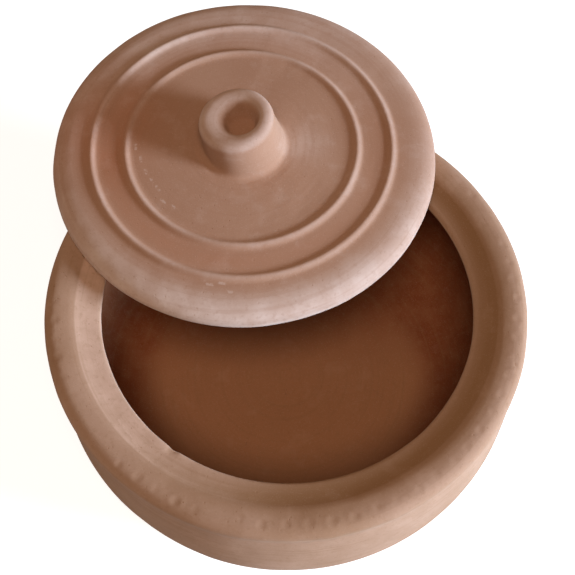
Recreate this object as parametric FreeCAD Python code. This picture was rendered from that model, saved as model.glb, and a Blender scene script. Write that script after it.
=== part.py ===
import FreeCAD, Part
import math
import os

# Unglazed clay pot with a loose lid, in millimetres. The origin is the centre of the pot's foot, +Z is up
# and the lid is pushed back towards +Y, lying across the far half of the lip.

# Outside of the pot
belly_radius = 126.2      # widest part of the body
belly_height = 53.0       # height of the widest part above the foot
foot_inset = 35.2         # from the belly in to the edge of the flat foot
pot_height = 108.0        # foot to the top of the lip
neck_inset = 1.9          # from the belly in to the shallow crease under the lip
neck_drop = 15.0          # from the top of the lip down to that crease

# Lip and the collar that slopes down from it to the mouth
lip_inset = 0.3           # from the belly in to the outside of the lip
lip_roll = 6.3            # section radius of the outside of the lip
lip_curve = 22.0          # section radius of the inner side of the lip
collar_slope = 30.0       # steepest slope of the collar, in degrees
collar_curve = 38.0       # section radius of the hollow stretch from there to the mouth
collar_width = 28.7       # outer edge of the lip to the edge of the mouth
mouth_face = 6.0          # height of the collar's edge round the mouth
mouth_nose = 1.4          # how far that edge is rounded out
collar_root_drop = 21.0   # top of the lip down to where the collar grows out of the wall

# Inside of the pot
wall = 8.5
floor_thickness = 9.0

# Marks pressed along the lip with a blunt pointed stick, and the chip on the edge of the mouth
mark_pitch = 11.0
mark_width = 5.4
mark_depth = 0.55
mark_sides = 6
mark_offset = 0.2         # marks lie this far outside the top of the lip
chip_angle = 235.0        # degrees from +X
chip_radius = 2.6

# Lid disc
lid_inset = 14.6          # from the top of the lip in to the lid's edge when closed
edge_under = 3.0          # rounding of the edge below its widest part
edge_over = 6.0           # rounding above it
lid_crown = 5.0           # rise of the top from the edge to the centre
outer_bead_inset = 23.2   # lid's edge to the ridge of the outer bead
bead_spacing = 18.8
bead_width = 8.4
bead_height = 1.8
bead_runs = 3             # straight runs on each side of a bead's ridge

# Knob, pressed on the disc by hand and leaning a little
knob_base_radius = 24.2   # on the disc's top
knob_foot_height = 2.0    # height of the clay smeared down round its root
knob_foot_width = 2.2     # how far that clay reaches out from the knob
knob_foot_tuck = 0.6      # how far its top edge lies inside the knob
knob_height = 25.0
knob_rim_radius = 15.7    # to the ridge of the rim
knob_rim_roll = 4.4
knob_hollow_depth = 10.0
knob_hollow_radius = 6.0  # where the hollow's wall turns into its round bottom
knob_hollow_bowl = 2.0    # depth of that round bottom
knob_sunk = 5.0           # how far the knob's clay goes down into the disc
knob_lean = 8.0           # degrees from upright, towards -X

# Where the lid lies
lid_slide = 90.2          # from the pot's axis to the lid's axis
lid_slide_angle = 104.7   # degrees from +X
seat_gap = 0.2            # clearance between the lid and the lip it rests on

# Round stretches of a section are turned as short straight runs
run_error = 0.25          # farthest that a run strays from its arc
run_turn = 30.0           # most degrees of an arc in one run

# Sizes that follow
lip_radius = belly_radius - lip_inset
crest_radius = lip_radius - lip_roll
neck = (belly_radius - neck_inset, pot_height - neck_drop)
foot_radius = belly_radius - foot_inset
mouth_radius = lip_radius - collar_width
lip_centre = (crest_radius, pot_height - lip_roll)
lid_radius = crest_radius - lid_inset
dome_rim_radius = lid_radius - edge_over
dome_curve = (dome_rim_radius ** 2 + lid_crown ** 2) / (2 * lid_crown)
lid_top = edge_under + edge_over + lid_crown


def on_circle(centre, radius, degrees):
    angle = math.radians(degrees)
    return (centre[0] + radius * math.cos(angle), centre[1] + radius * math.sin(angle))


def bearing(centre, target):
    return math.degrees(math.atan2(target[1] - centre[1], target[0] - centre[0]))


def touch_bearing(centre, radius, target, side):
    """Direction in which a straight line from target touches the circle; side is +1 or -1."""
    distance = math.hypot(target[0] - centre[0], target[1] - centre[1])
    return bearing(centre, target) + side * math.degrees(math.acos(radius / distance))


def arc(centre, radius, *bearings):
    """Points along an arc of a section, evenly spaced from each of the given bearings to the next."""
    largest = min(run_turn, math.degrees(2 * math.acos(1 - run_error / radius)))
    points = [on_circle(centre, radius, bearings[0])]
    for start, end in zip(bearings, bearings[1:]):
        runs = math.ceil(abs(end - start) / largest)
        for run in range(1, runs + 1):
            points.append(on_circle(centre, radius, start + (end - start) * run / runs))
    return points


def swell(widest, end):
    """Arc that leaves the widest point upright and passes through the end point."""
    across = widest[0] - end[0]
    up = end[1] - widest[1]
    radius = (across ** 2 + up ** 2) / (2 * across)
    centre = (widest[0] - radius, widest[1])
    return arc(centre, radius, 0, bearing(centre, end))


def turned(section):
    """Solid of revolution about the Z axis from the (radius, height) corners of half a section."""
    corners = [FreeCAD.Vector(radius, 0, height) for radius, height in section]
    face = Part.Face(Part.makePolygon(corners + corners[:1]))
    return face.revolve(FreeCAD.Vector(0, 0, 0), FreeCAD.Vector(0, 0, 1), 360)


def collar_top():
    """Inner side of the lip and the collar's slope, from the top of the lip down to the mouth."""
    steepest = 90 + collar_slope
    lip_side = (crest_radius, pot_height - lip_curve)
    hollow = on_circle(lip_side, lip_curve + collar_curve, steepest)
    mouth = -math.degrees(math.acos((mouth_radius + mouth_nose - hollow[0]) / collar_curve))
    return [*arc(lip_side, lip_curve, 90, steepest), *arc(hollow, collar_curve, steepest - 180, mouth)[1:]]


def mouth_edge(top):
    """Rounded edge of the collar, from its top corner down to its underside."""
    half = mouth_face / 2
    radius = (half ** 2 + mouth_nose ** 2) / (2 * mouth_nose)
    centre = (mouth_radius + radius, top[1] - half)
    turn = bearing(centre, top)
    return arc(centre, radius, turn, 180, 360 - turn)


def pot_body():
    belly = (belly_radius, belly_height)
    inner_belly = (belly_radius - wall, belly_height)
    foot = (foot_radius, 0)
    floor_edge = (foot_radius - wall, floor_thickness)
    collar_root = (neck[0] - wall, pot_height - collar_root_drop)
    neck_touch = touch_bearing(lip_centre, lip_roll, neck, 1)
    slope = collar_top()
    return turned([
        (0, 0),
        *reversed(swell(belly, foot)),
        *swell(belly, neck)[1:],
        *arc(lip_centre, lip_roll, neck_touch, 0, 90),
        *slope[1:],
        *mouth_edge(slope[-1])[1:],
        *reversed(swell(inner_belly, collar_root)),
        *swell(inner_belly, floor_edge)[1:],
        (0, floor_thickness),
    ])


def stick_tip():
    """Point of the stick that pressed the marks, standing at the origin."""
    height = 2 * mark_depth
    rim = []
    for side in range(mark_sides):
        angle = 2 * math.pi * side / mark_sides
        rim.append(FreeCAD.Vector(mark_width * math.cos(angle), mark_width * math.sin(angle), height))
    return Part.makeLoft([Part.Vertex(0, 0, 0), Part.makePolygon(rim + rim[:1])], True)


def lip_marks():
    """Tips of the stick pressed a little way into the lip, evenly spaced round it."""
    ring = crest_radius + mark_offset
    surface = lip_centre[1] + math.sqrt(lip_roll ** 2 - mark_offset ** 2)
    count = round(2 * math.pi * ring / mark_pitch)
    tips = []
    for index in range(count):
        tip = stick_tip()
        tip.translate(FreeCAD.Vector(ring, 0, surface - mark_depth))
        tip.rotate(FreeCAD.Vector(0, 0, 0), FreeCAD.Vector(0, 0, 1), 360 * index / count)
        tips.append(tip)
    return tips


def mouth_chip():
    angle = math.radians(chip_angle)
    reach = mouth_radius + mouth_nose / 2
    return Part.makeSphere(chip_radius, FreeCAD.Vector(reach * math.cos(angle), reach * math.sin(angle),
                                                       collar_top()[-1][1]))


def pot():
    return pot_body().cut(lip_marks() + [mouth_chip()]).Solids[0]


def dome_point(radius, rise=0):
    """Point of the lid's domed top, or above it by the rise."""
    return (radius, lid_top - dome_curve + math.sqrt(dome_curve ** 2 - radius ** 2) + rise)


def bead(ridge):
    """Soft raised ring with the section of one wave."""
    section = []
    for run in range(-bead_runs, bead_runs + 1):
        share = run / bead_runs
        rise = bead_height * (1 + math.cos(math.pi * share)) / 2
        section.append(dome_point(ridge + share * bead_width / 2, rise))
    return section


def lid_disc():
    """Disc of the lid, with the clay that is smeared round the root of the knob."""
    outer_bead = lid_radius - outer_bead_inset
    return turned([
        (0, lid_top + knob_foot_height),
        (knob_base_radius - knob_foot_tuck, lid_top + knob_foot_height),
        dome_point(knob_base_radius + knob_foot_width),
        *bead(outer_bead - bead_spacing),
        *bead(outer_bead),
        *arc((dome_rim_radius, edge_under), edge_over, 90, 0),
        *arc((lid_radius - edge_under, edge_under), edge_under, 0, -90)[1:],
        (0, 0),
    ])


def knob():
    """Hollow knob that rises from z = 0, with its root going down below."""
    rim_centre = (knob_rim_radius, knob_height - knob_rim_roll)
    root = (knob_base_radius, 0)
    bottom = knob_height - knob_hollow_depth
    bowl_edge = (knob_hollow_radius, bottom + knob_hollow_bowl)
    bowl_curve = (knob_hollow_radius ** 2 + knob_hollow_bowl ** 2) / (2 * knob_hollow_bowl)
    bowl_centre = (0, bottom + bowl_curve)
    outer_touch = touch_bearing(rim_centre, knob_rim_roll, root, 1)
    inner_touch = touch_bearing(rim_centre, knob_rim_roll, bowl_edge, -1) + 360
    return turned([
        (0, -knob_sunk),
        (knob_base_radius, -knob_sunk),
        root,
        *arc(rim_centre, knob_rim_roll, outer_touch, 90, inner_touch),
        *arc(bowl_centre, bowl_curve, bearing(bowl_centre, bowl_edge), -90),
    ])


def lid():
    leaning = knob()
    # A quarter turn keeps the seam lines of the two turned surfaces apart where they meet
    leaning.rotate(FreeCAD.Vector(0, 0, 0), FreeCAD.Vector(0, 0, 1), 90)
    leaning.rotate(FreeCAD.Vector(0, 0, 0), FreeCAD.Vector(0, 1, 0), -knob_lean)
    leaning.translate(FreeCAD.Vector(0, 0, lid_top))
    shape = lid_disc().fuse(leaning).Solids[0]
    angle = math.radians(lid_slide_angle)
    shape.translate(FreeCAD.Vector(lid_slide * math.cos(angle), lid_slide * math.sin(angle),
                                   pot_height + seat_gap))
    return shape


os.makedirs("parts", exist_ok=True)
for name, shape in (("pot", pot()), ("lid", lid())):
    shape.exportStep("parts/" + name + ".step")
    box = shape.BoundBox
    print(name, shape.ShapeType, "solids", len(shape.Solids), "valid", shape.isValid(),
          "volume cm3 %.1f" % (shape.Volume / 1000),
          "x %.1f %.1f y %.1f %.1f z %.1f %.1f" % (box.XMin, box.XMax, box.YMin, box.YMax, box.ZMin, box.ZMax))
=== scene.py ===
"""Unglazed clay pot with its loose lid, dressed with worked surfaces and bare fired clay.

Everything is in metres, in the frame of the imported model: the pot's axis is Z, its foot stands on
z = 0 and the lid lies across the far half of the lip.
"""
import logging
import math
from dataclasses import dataclass, field
from enum import Enum

import bpy
import numpy as np
from mathutils import Matrix, Vector


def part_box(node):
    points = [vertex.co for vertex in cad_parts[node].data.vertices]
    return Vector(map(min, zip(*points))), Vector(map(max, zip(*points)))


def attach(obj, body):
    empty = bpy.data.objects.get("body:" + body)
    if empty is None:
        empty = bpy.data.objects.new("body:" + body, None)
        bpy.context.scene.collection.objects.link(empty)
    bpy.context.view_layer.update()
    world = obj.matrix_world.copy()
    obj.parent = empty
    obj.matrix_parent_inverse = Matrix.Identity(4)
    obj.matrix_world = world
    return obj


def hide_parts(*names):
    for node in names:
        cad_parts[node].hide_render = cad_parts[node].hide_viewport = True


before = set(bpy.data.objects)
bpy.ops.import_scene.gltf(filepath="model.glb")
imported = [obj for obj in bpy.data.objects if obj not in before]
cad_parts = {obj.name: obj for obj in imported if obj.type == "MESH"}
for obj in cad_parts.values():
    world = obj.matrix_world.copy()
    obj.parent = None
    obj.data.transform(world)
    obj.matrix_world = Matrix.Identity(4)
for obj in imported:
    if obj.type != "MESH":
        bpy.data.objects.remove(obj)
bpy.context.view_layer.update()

log = logging.getLogger("clay_pot")

Colour = tuple[float, float, float]
Place = tuple[float, float, float]
# Radius and height in a section, x and y from above, or the two ends of a span
Pair = tuple[float, float]
Profile = np.ndarray
Faces = list[tuple[int, ...]]
Socket = bpy.types.NodeSocket

WHITE = (1.0, 1.0, 1.0)
# Spacing of the points that a section is drawn with, and the distance at which two are one
FINE_STEP = 0.0001
SAME_PLACE = FINE_STEP / 50
FEWEST_POINTS = 4
BEND_POINTS = 80
# Number of its widths at which a Gaussian is cut off
CUT_OFF = 4
# Direction of the viewer, in degrees from +X
VIEWER_SIDE = -90


class Zone(Enum):
    """Stretches of a turned surface, with the spacing of their rings and the points in a ring."""

    FOOT = (0.0075, 256)
    WALL = (0.0020, 256)
    LIP = (0.0009, 768)
    COLLAR = (0.0010, 384)
    INSIDE = (0.0026, 256)
    FLOOR = (0.0040, 256)
    DISC = (0.0016, 384)
    BEAD = (0.0006, 384)
    RIM = (0.0008, 384)
    UNDERSIDE = (0.0060, 192)
    KNOB = (0.0007, 160)

    @property
    def spacing(self) -> float:
        """Distance between rings along the section, in metres."""
        return self.value[0]

    @property
    def around(self) -> int:
        """Number of points in a ring."""
        return self.value[1]


def on_circle(centre: Pair, radius: float, degrees: float) -> Pair:
    """Point of a circle in the plane of a section.

    Args:
        centre: The circle's centre as (radius, height).
        radius: The circle's own radius.
        degrees: Direction from the centre.

    Returns:
        The point as (radius, height).
    """
    angle = math.radians(degrees)
    return (centre[0] + radius * math.cos(angle), centre[1] + radius * math.sin(angle))


def bearing(centre: Pair, target: Pair) -> float:
    """Direction from one point of a section to another, in degrees."""
    return math.degrees(math.atan2(target[1] - centre[1], target[0] - centre[0]))


def touch_bearing(centre: Pair, radius: float, target: Pair, side: int) -> float:
    """Direction in which a straight line from a point touches a circle.

    Args:
        centre: The circle's centre.
        radius: The circle's radius.
        target: The point outside the circle.
        side: +1 or -1, for the touching point on either side.

    Returns:
        The direction of the touching point from the centre, in degrees.
    """
    distance = math.hypot(target[0] - centre[0], target[1] - centre[1])
    return bearing(centre, target) + side * math.degrees(math.acos(radius / distance))


def cap_curve(half: float, rise: float) -> float:
    """Radius of the arc that rises by the given amount over half its width."""
    return (half ** 2 + rise ** 2) / (2 * rise)


def points_for(length: float) -> int:
    """Number of points that a stretch of a section is drawn with."""
    return max(FEWEST_POINTS, int(length / FINE_STEP))


def arc(centre: Pair, radius: float, start: float, end: float) -> Profile:
    """Points along an arc of a section, about a tenth of a millimetre apart.

    Args:
        centre: The arc's centre.
        radius: The arc's radius.
        start: Direction of the first point, in degrees.
        end: Direction of the last point, in degrees.

    Returns:
        An array of (radius, height) rows.
    """
    count = points_for(abs(math.radians(end - start)) * radius)
    return np.array([on_circle(centre, radius, d) for d in np.linspace(start, end, count)])


def run(start: Pair, end: Pair) -> Profile:
    """Points along a straight stretch of a section, about a tenth of a millimetre apart."""
    return np.linspace(start, end, points_for(math.hypot(end[0] - start[0], end[1] - start[1])))


def swell(widest: Pair, end: Pair) -> Profile:
    """Arc that leaves the widest point upright and passes through the end point.

    Args:
        widest: The widest point of the wall.
        end: The point that the wall runs to, above or below it.

    Returns:
        An array of (radius, height) rows.
    """
    radius = cap_curve(end[1] - widest[1], widest[0] - end[0])
    centre = (widest[0] - radius, widest[1])
    return arc(centre, radius, 0, bearing(centre, end))


def bend(start: Pair, corner: Pair, end: Pair) -> Profile:
    """Smooth curve of a section that leaves one point and enters another towards a shared corner.

    Args:
        start: Its first point.
        corner: Where its two end directions meet.
        end: Its last point.

    Returns:
        An array of (radius, height) rows.
    """
    share = np.linspace(0, 1, BEND_POINTS)[:, None]
    middle = 2 * share * (1 - share) * np.array(corner)
    return (1 - share) ** 2 * start + middle + share ** 2 * np.array(end)


def soften(line: Profile, sigma: float) -> Profile:
    """Gaussian smoothing of evenly spaced points, with the ends mirrored through themselves.

    Args:
        line: The points.
        sigma: Width of the smoothing, in points.

    Returns:
        As many points.
    """
    reach = int(CUT_OFF * sigma)
    weights = np.exp(-0.5 * (np.arange(-reach, reach + 1) / sigma) ** 2)
    weights /= weights.sum()
    head = 2 * line[0] - line[reach:0:-1]
    tail = 2 * line[-1] - line[-2:-reach - 2:-1]
    padded = np.concatenate([head, line, tail])
    return np.stack([np.convolve(padded[:, k], weights, "valid") for k in (0, 1)], axis=1)


@dataclass
class Section:
    """Half a section of a turned piece, drawn in stretches from the axis round and back to it."""

    points: list[Profile] = field(default_factory=list)
    zones: list[Zone] = field(default_factory=list)

    def add(self, zone: Zone, *stretches: Profile) -> None:
        """Appends stretches of the section.

        Args:
            zone: The zone that they belong to.
            stretches: Their points, in order.
        """
        for stretch in stretches:
            self.points.append(stretch)
            self.zones.extend([zone] * len(stretch))

    def rings(self, softness: float) -> tuple[Profile, list[Zone]]:
        """Softens the corners as wet clay does and spaces the rings by zone.

        Args:
            softness: Length over which a corner is rounded, in metres.

        Returns:
            The rings' (radius, height) rows and zones, without the two ends on the axis.
        """
        drawn = np.concatenate(self.points)
        apart = np.linalg.norm(np.diff(drawn, axis=0), axis=1) > SAME_PLACE
        keep = np.concatenate([[True], apart])
        drawn = drawn[keep]
        zones = [zone for zone, kept in zip(self.zones, keep) if kept]
        steps = np.linalg.norm(np.diff(drawn, axis=0), axis=1)
        length = np.concatenate([[0], np.cumsum(steps)])
        even = np.arange(0, length[-1], FINE_STEP)
        line = np.stack([np.interp(even, length, drawn[:, k]) for k in (0, 1)], axis=1)
        line = soften(line, softness / FINE_STEP)
        nearest = np.searchsorted(length, even).clip(0, len(zones) - 1)
        chosen, kinds, travelled = [], [], 0.0
        for index in range(1, len(even) - 1):
            zone = zones[nearest[index]]
            travelled += FINE_STEP
            if travelled >= zone.spacing:
                chosen.append(line[index])
                kinds.append(zone)
                travelled = 0.0
        return np.array(chosen), kinds


@dataclass(frozen=True)
class Unevenness:
    """Gentle lumps left by the hand: a sum of plane waves in random directions.

    Attributes:
        seed: Start of the random draw.
        wavelength: Typical distance from lump to lump, in metres.
        height: Typical height of a lump, in metres.
        waves: Number of waves added up.
        spread: Shortest and longest wave, as shares of the typical distance.
    """

    seed: int
    wavelength: float
    height: float
    waves: int = 28
    spread: Pair = (0.6, 1.7)

    def at(self, points: np.ndarray) -> np.ndarray:
        """Height of the lumps.

        Args:
            points: Points in space.

        Returns:
            The height at each point.
        """
        draw = np.random.default_rng(self.seed)
        total = np.zeros(len(points))
        for _ in range(self.waves):
            direction = draw.normal(size=3)
            direction /= np.linalg.norm(direction)
            number = math.tau / (self.wavelength * draw.uniform(*self.spread))
            total += np.cos(points @ direction * number + draw.uniform(0, math.tau))
        return total * self.height / math.sqrt(self.waves / 2)


@dataclass(frozen=True)
class TurningLines:
    """Faint spiral ridges that fingers and ribs leave while a piece turns on the wheel.

    Attributes:
        seed: Start of the random draw.
        pitches: Distances between ridges, in metres.
        height: Height of a ridge, in metres.
        wander: How far a ridge strays along the section, in radians of its pitch.
        fading: Share by which a ridge fades along the section.
        fade_rate: Slowest and fastest fading, in radians a metre.
        slow_waves: Fewest waves of that straying round the axis, and one more than the most.
    """

    seed: int
    pitches: tuple[float, ...]
    height: float
    wander: float = 0.8
    fading: float = 0.35
    fade_rate: Pair = (40, 90)
    slow_waves: tuple[int, int] = (1, 4)

    def at(self, along: np.ndarray, angle: np.ndarray) -> np.ndarray:
        """Height of the ridges.

        Args:
            along: Distance along the section of each point.
            angle: Angle round the axis of each point, in radians.

        Returns:
            The height at each point.
        """
        draw = np.random.default_rng(self.seed)
        total = np.zeros(len(along))
        for pitch in self.pitches:
            phase = draw.uniform(0, math.tau)
            slow = np.cos(angle * draw.integers(*self.slow_waves) + draw.uniform(0, math.tau))
            fade = np.cos(along * draw.uniform(*self.fade_rate) + draw.uniform(0, math.tau))
            ridge = np.cos(math.tau * along / pitch + angle + phase + self.wander * slow)
            total += ridge * (1 - self.fading + self.fading * fade)
        return total * self.height / len(self.pitches)


@dataclass(frozen=True)
class Ramp:
    """Smooth rise from 0 at low to 1 at high."""

    low: float
    high: float

    def at(self, value: np.ndarray) -> np.ndarray:
        """How far up the rise each value is."""
        share = np.clip((value - self.low) / (self.high - self.low), 0, 1)
        return share * share * (3 - 2 * share)


@dataclass(frozen=True)
class Hump:
    """Soft hump that is 1 at its middle and about a third at its width from there."""

    middle: float
    width: float

    def at(self, value: np.ndarray) -> np.ndarray:
        """Height of the hump at each value."""
        return np.exp(-((value - self.middle) / self.width) ** 2)


def reach_of(points: np.ndarray) -> np.ndarray:
    """Distance of each point from the axis."""
    return np.hypot(points[:, 0], points[:, 1])


def facing(points: np.ndarray, degrees: float) -> np.ndarray:
    """How much each point lies to one side of the axis: 1 in that direction, -1 opposite."""
    return np.cos(np.arctan2(points[:, 1], points[:, 0]) - math.radians(degrees))


def sided(points: np.ndarray, degrees: float) -> np.ndarray:
    """Share from 0 to 1 by which each point lies to one side of the axis."""
    return 0.5 + 0.5 * facing(points, degrees)


def patch(points: np.ndarray, centre: Place, width: float) -> np.ndarray:
    """Soft round patch that is 1 at its centre and about a third at its width from there."""
    return Hump(0.0, width).at(np.linalg.norm(points - np.array(centre), axis=1))


@dataclass
class TurnedSurface:
    """Points and faces of a turned piece, with the ring layout that its features are placed by."""

    rings: Profile
    zones: list[Zone]

    def __post_init__(self) -> None:
        """Lays the rings out and works out each point's angle, travel and outward direction."""
        steps = np.linalg.norm(np.diff(self.rings, axis=0), axis=1)
        travel = np.concatenate([[0], np.cumsum(steps)])
        slope = np.gradient(self.rings, axis=0)
        slope /= np.linalg.norm(slope, axis=1)[:, None]
        outward = np.stack([slope[:, 1], -slope[:, 0]], axis=1)
        counts = [zone.around for zone in self.zones]
        self.starts = [0, *np.cumsum(counts)[:-1].tolist()]
        self.angle = np.concatenate([np.arange(count) * 2 * math.pi / count for count in counts])
        self.row = np.repeat(np.arange(len(counts)), counts)
        self.travel = travel[self.row]
        self.radius = self.rings[self.row, 0]
        self.height = self.rings[self.row, 1]
        self.out = outward[self.row]
        self.flat = self.points(self.radius, self.height)

    def zone_mask(self, *zones: Zone) -> np.ndarray:
        """1 at the points that belong to one of the zones, else 0."""
        belongs = np.array([zone in zones for zone in self.zones], float)
        return belongs[self.row]

    def points(self, radius: np.ndarray, height: np.ndarray) -> np.ndarray:
        """Places in space for each point's radius and height."""
        return np.stack([radius * np.cos(self.angle), radius * np.sin(self.angle), height], axis=1)

    def pushed(self, push: np.ndarray, plain: Zone) -> np.ndarray:
        """Places after pushing the surface, so that no part passes the turned outline.

        Args:
            push: Outward push of each point, in metres.
            plain: Zone that stays as it is.

        Returns:
            The points in space.
        """
        still = self.zone_mask(plain)
        push = np.where(still > 0, 0.0, np.minimum(push, 0.0))
        height = np.maximum(self.height + self.out[:, 1] * push, 0.0)
        return self.points(self.radius + self.out[:, 0] * push, height)

    def closed(self, points: np.ndarray) -> np.ndarray:
        """The points with the two on the axis at the end, at z = 0 and at the last ring."""
        ends = np.array([[0.0, 0.0, 0.0], [0.0, 0.0, float(points[-1, 2])]])
        return np.concatenate([points, ends])

    def faces(self) -> Faces:
        """Faces between the rings, and the two fans at the axis.

        Returns:
            The faces as rows of point numbers.
        """
        count = len(self.angle)
        made: Faces = []
        for index in range(len(self.zones) - 1):
            made.extend(bridge(self.starts[index], self.zones[index].around,
                               self.starts[index + 1], self.zones[index + 1].around))
        first, last = self.zones[0].around, self.zones[-1].around
        made.extend((count, (k + 1) % first, k) for k in range(first))
        end = self.starts[-1]
        made.extend((end + k, end + (k + 1) % last, count + 1) for k in range(last))
        return made


def bridge(start_a: int, count_a: int, start_b: int, count_b: int) -> Faces:
    """Faces between two neighbouring rings.

    Args:
        start_a: Index of the first ring's first point.
        count_a: Number of points in the first ring.
        start_b: Index of the second ring's first point.
        count_b: Number of points in the second ring.

    Returns:
        Quads where the rings have as many points, else triangles.
    """
    if count_a == count_b:
        return [(start_a + k, start_a + (k + 1) % count_a,
                 start_b + (k + 1) % count_b, start_b + k) for k in range(count_a)]
    made = []
    a = b = 0
    while a < count_a or b < count_b:
        here, there = start_a + a % count_a, start_b + b % count_b
        if b >= count_b or (a < count_a and (a + 1) * count_b <= (b + 1) * count_a):
            made.append((here, start_a + (a + 1) % count_a, there))
            a += 1
        else:
            made.append((here, start_b + (b + 1) % count_b, there))
            b += 1
    return made


def put_in_scene(name: str, data: bpy.types.ID) -> bpy.types.Object:
    """Makes an object and links it to the scene.

    Args:
        name: The object's name.
        data: Its mesh, lamp or camera.

    Returns:
        The object.
    """
    made = bpy.data.objects.new(name, data)
    bpy.context.scene.collection.objects.link(made)
    return made


def make_piece(name: str, points: np.ndarray, faces: Faces,
               masks: dict[str, np.ndarray]) -> bpy.types.Object:
    """Makes a smooth mesh object.

    Args:
        name: The piece's name.
        points: Its points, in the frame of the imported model.
        faces: Its faces.
        masks: Values that its clay reads, by name, for all points but the two on the axis.

    Returns:
        The object, linked to the scene.
    """
    mesh = bpy.data.meshes.new(name)
    mesh.from_pydata(points.tolist(), [], faces)
    mesh.polygons.foreach_set("use_smooth", [True] * len(mesh.polygons))
    for label, values in masks.items():
        whole = np.append(values, [values[0], values[-1]]).astype(np.float32)
        mesh.attributes.new(label, "FLOAT", "POINT").data.foreach_set("value", whole)
    mesh.update()
    return put_in_scene(name, mesh)


class NodeGraph:
    """Short ways to add and link nodes of one node tree."""

    def __init__(self, tree: bpy.types.NodeTree) -> None:
        """Empties the tree and keeps it."""
        self.tree = tree
        tree.nodes.clear()

    def link(self, source: Socket, target: Socket) -> None:
        """Links an output to an input."""
        self.tree.links.new(source, target)

    def put(self, target: Socket, value: object) -> None:
        """Fills an input.

        Args:
            target: The input.
            value: An output to link to it, or a plain value.
        """
        if isinstance(value, Socket):
            self.link(value, target)
        else:
            target.default_value = value

    def add(self, kind: str, **values: object) -> bpy.types.Node:
        """Adds a node.

        Args:
            kind: The node's type name.
            values: Inputs by their names, or settings of the node itself.

        Returns:
            The node.
        """
        node = self.tree.nodes.new(kind)
        for name, value in values.items():
            if name in node.inputs:
                self.put(node.inputs[name], value)
            else:
                setattr(node, name, value)
        return node

    def worked_out(self, kind: str, operation: str, values: tuple[object, ...]) -> bpy.types.Node:
        """Adds a node that does an operation.

        Args:
            kind: The node's type name.
            operation: The operation.
            values: What it works on, in order.

        Returns:
            The node.
        """
        node = self.add(kind, operation=operation)
        for index, value in enumerate(values):
            self.put(node.inputs[index], value)
        return node

    def math(self, operation: str, *values: object) -> Socket:
        """Result of an operation on one or two numbers."""
        return self.worked_out("ShaderNodeMath", operation, values).outputs[0]

    def scaled(self, value: object, factor: float) -> Socket:
        """A number times a factor."""
        return self.math("MULTIPLY", value, factor)

    def vector(self, operation: str, *values: object) -> Socket:
        """Result of an operation on one or two vectors."""
        node = self.worked_out("ShaderNodeVectorMath", operation, values)
        return node.outputs["Value" if operation in ("LENGTH", "DOT_PRODUCT") else "Vector"]

    def stretched(self, vector: object, factor: object) -> Socket:
        """A vector times a number."""
        node = self.add("ShaderNodeVectorMath", operation="SCALE", Vector=vector, Scale=factor)
        return node.outputs["Vector"]

    def attribute(self, name: str) -> Socket:
        """A value that the mesh carries at its points."""
        return self.add("ShaderNodeAttribute", attribute_name=name).outputs["Fac"]

    def ramp(self, value: Socket, low: float, high: float) -> Socket:
        """Smooth step of a number.

        Args:
            value: The number.
            low: Where the step is 0.
            high: Where it is 1.

        Returns:
            The step's output.
        """
        node = self.add("ShaderNodeMapRange", interpolation_type="SMOOTHSTEP")
        for name, given in (("Value", value), ("From Min", low), ("From Max", high)):
            self.put(node.inputs[name], given)
        return node.outputs["Result"]

    def mix(self, share: object, first: object, second: object) -> Socket:
        """Mix of two colours.

        Args:
            share: Share of the second one, from 0 to 1.
            first: The first colour.
            second: The second colour.

        Returns:
            The mixed colour.
        """
        node = self.add("ShaderNodeMix", data_type="RGBA")
        colours = [s for s in node.inputs if s.type == "RGBA"]
        self.put(node.inputs[0], share)
        for socket, value in zip(colours, (first, second)):
            self.put(socket, (*value, 1.0) if isinstance(value, tuple) else value)
        return next(s for s in node.outputs if s.type == "RGBA")


class Noise(Enum):
    """Noise in the clay from coarse to fine, as its scale, detail and roughness."""

    CLOUD = (13.0, 3.0, 0.5)
    MOTTLE = (70.0, 4.0, 0.6)
    SPECKLE = (420.0, 3.0, 0.6)
    GRAIN = (1300.0, 2.0, 0.6)
    LINES = (420.0, 2.0, 0.55)

    def output(self, graph: NodeGraph, place: Socket) -> Socket:
        """Adds the noise to a material.

        Args:
            graph: The material's nodes.
            place: The place on the clay.

        Returns:
            The noise's value there, from 0 to 1.
        """
        scale, detail, roughness = self.value
        return graph.add("ShaderNodeTexNoise", Vector=place, Scale=scale, Detail=detail,
                         Roughness=roughness).outputs["Fac"]


class Cover(Enum):
    """What a colour that lies over the clay follows, apart from the kinds of noise."""

    PITS = "pits"
    SCUFFS = "scuffs"
    INNER = "inner"
    RED = "red"
    SHADE = "shade"
    BLOOM = "bloom"
    RAW = "raw"


class Tint(Enum):
    """Colours of a finish that lie over the clay's own."""

    DARK = "dark"
    RED = "red"
    PALE = "pale"
    INNER = "inner"


@dataclass(frozen=True)
class Layer:
    """A colour that lies over the clay.

    Attributes:
        follows: The noise or cover that it follows.
        tint: The colour.
        share: How much of the clay it covers at most.
        span: For a noise, the values between which it fades in.
        broken: Share that the mottle takes off it, and the mottle's values between which it does.
    """

    follows: Noise | Cover
    tint: Tint
    share: float = 1.0
    span: Pair | None = None
    broken: tuple[float, float, float] | None = None


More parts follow.
